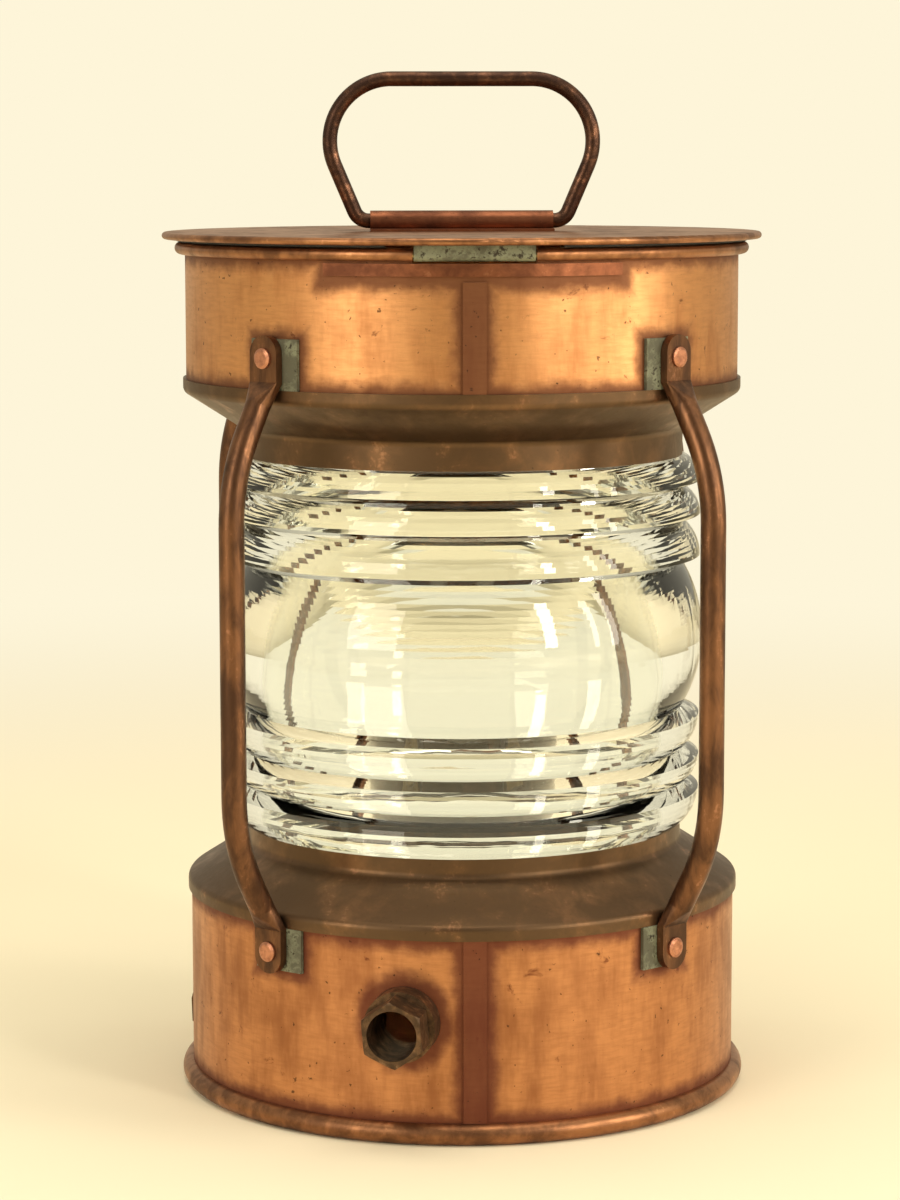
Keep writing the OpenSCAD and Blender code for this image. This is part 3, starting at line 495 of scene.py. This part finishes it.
sleeve_copper = brown_copper("sleeve_copper", size=8.0, amount=0.5, rough=0.38,
                             worn=(0.46, 0.19, 0.095, 1), brown=(0.29, 0.105, 0.050, 1),
                             dark=(0.14, 0.050, 0.026, 1))
brass_brown = brown_copper("gland_brass", size=4.0, amount=0.45, rough=0.42,
                           worn=(0.46, 0.29, 0.16, 1), brown=(0.24, 0.135, 0.070, 1),
                           dark=(0.085, 0.052, 0.030, 1))
print("brown finishes: 7, the last is", brass_brown.name)

# %% [markdown]
# ## Dull tin
# The pads under the guards and the hinge knuckle were tinned before they were soldered on. Tin goes grey
# and then green, under dark dirt. It is no longer a mirror, so this surface is hardly metallic at all.

# %% Tin that has gone dull
TIN_GREEN = rgb(128, 130, 106)
TIN_GREY = rgb(92, 90, 72)
TIN_DIRT = rgb(52, 44, 32)
TIN_PATCH = 4.5


def tinned(name):
    sheet = Finish(name)
    where = sheet.place()
    patches = sheet.grain(where, TIN_PATCH * 2.4, 4.0, 0.6, 0.5)
    fine = sheet.grain(where, TIN_PATCH * 0.5, 3.0, 0.65)
    grit = sheet.grain(where, 0.45, 2.0, 0.7)
    colour = sheet.blend((patches + (fine - 0.5) * 0.5).fade(0.42, 0.60), TIN_GREY, TIN_GREEN)
    colour = sheet.blend((fine + (patches - 0.5) * 0.4).fade(0.56, 0.70), colour, TIN_DIRT)
    height = patches * 0.5 + fine * 0.35 + grit * 0.2
    return sheet.surface(colour, 0.62 + (fine - 0.5) * 0.3, 0.15, height, bump=0.8, depth=0.8)


dull_tin = tinned("dull_tin")
print("tin finish:", dull_tin.name)

# %% [markdown]
# ## Glass
# The lens is pressed glass with a faint yellow green tint, which shows where the light crosses much of
# it. Pressed glass is never quite even, so a very shallow, wide ripple bends what is seen through it.

# %% Lens glass
GLASS_TINT = (0.965, 0.975, 0.915, 1.0)
GLASS_BEND = 1.52


def lens_glass(name):
    sheet = Finish(name)
    ripples = sheet.grain(sheet.place(), 22.0, 2.0, 0.5)
    return sheet.surface(GLASS_TINT, 0.015, 0.0, ripples, bump=0.12, depth=1.0,
                         **{"IOR": GLASS_BEND, "Transmission Weight": 1.0})


glass = lens_glass("pressed_glass")
print("glass finish:", glass.name)

# %% [markdown]
# ## Inner pieces
# The lampholder, the seals and the screws are seen only through the glass or with the lid open. One quiet
# formula of two near colours and a fine grain is enough for porcelain, rubber and brass.

# %% Porcelain, rubber and lampholder brass
def plain(name, light, dark, rough, size, metallic=0.0):
    """Two near colours in lumps of size millimetres, with a fine grain."""
    sheet = Finish(name)
    where = sheet.place()
    lumps = sheet.grain(where, size, 4.0, 0.6)
    fine = sheet.grain(where, 0.6, 2.0, 0.6)
    colour = sheet.blend((lumps + (fine - 0.5) * 0.3).fade(0.35, 0.7), light, dark)
    height = lumps * 0.4 + fine * 0.2
    return sheet.surface(colour, rough + (lumps - 0.5) * 0.15, metallic, height, bump=0.3, depth=0.5)


porcelain = plain("porcelain", rgb(232, 226, 210), rgb(206, 196, 174), rough=0.18, size=9.0)
black_rubber = plain("black_rubber", rgb(44, 42, 38), rgb(26, 25, 23), rough=0.62, size=5.0)
old_brass = plain("lampholder_brass", (0.46, 0.33, 0.14, 1), (0.26, 0.17, 0.075, 1), rough=0.34,
                  size=6.0, metallic=1.0)
print("materials:", len(bpy.data.materials))

# %% [markdown]
# ## Dress the pieces
# Every piece keeps its own mesh and gets the finish of what it is made of. The list goes by finish, so
# that pieces cut from the same stock stand together.

# %% Give each piece its finish
FINISHED_IN = [
    (base_copper, ["base_shell", "base_seam_strip"]),
    (top_copper, ["upper_shell", "upper_seam_strip"]),
    (bead_copper, ["base_bead", "upper_bead", "lid_plate"]),
    (shoulder_brown, ["base_plate", "base_shoulder", "lower_lens_seat", "upper_lens_seat",
                      "upper_shoulder", "air_hood_left", "air_hood_right", "lid_spigot"]),
    (rod_brown, ["guard_front_left", "guard_front_right", "guard_rear_left", "guard_rear_right"]),
    (handle_brown, ["handle"]),
    (sleeve_copper, ["hinge_strap", "handle_sleeve", "catch_lug", "lid_lug"]),
    (rivet_copper, ["upper_guard_rivets", "lower_guard_rivets", "catch_lug_rivets", "lid_lug_rivets"]),
    (brass_brown, ["gland_boss", "gland_body"]),
    (dull_tin, ["upper_guard_pads", "lower_guard_pads", "hinge_knuckle"]),
    (glass, ["lens"]),
    (black_rubber, ["lower_lens_gasket", "upper_lens_gasket", "lid_seal"]),
    (porcelain, ["lampholder_foot", "lampholder_cup"]),
    (old_brass, ["hinge_pin", "lamp_bracket", "bracket_screws", "lamp_screw_shell",
                 "centre_contact", "terminal_screws", "lampholder_screws"]),
]
dressed = set()
for finish, nodes in FINISHED_IN:
    for node in nodes:
        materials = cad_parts[node].data.materials
        materials.clear()
        materials.append(finish)
        dressed.add(node)
print("dressed", len(dressed), "of", len(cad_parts), "nodes")
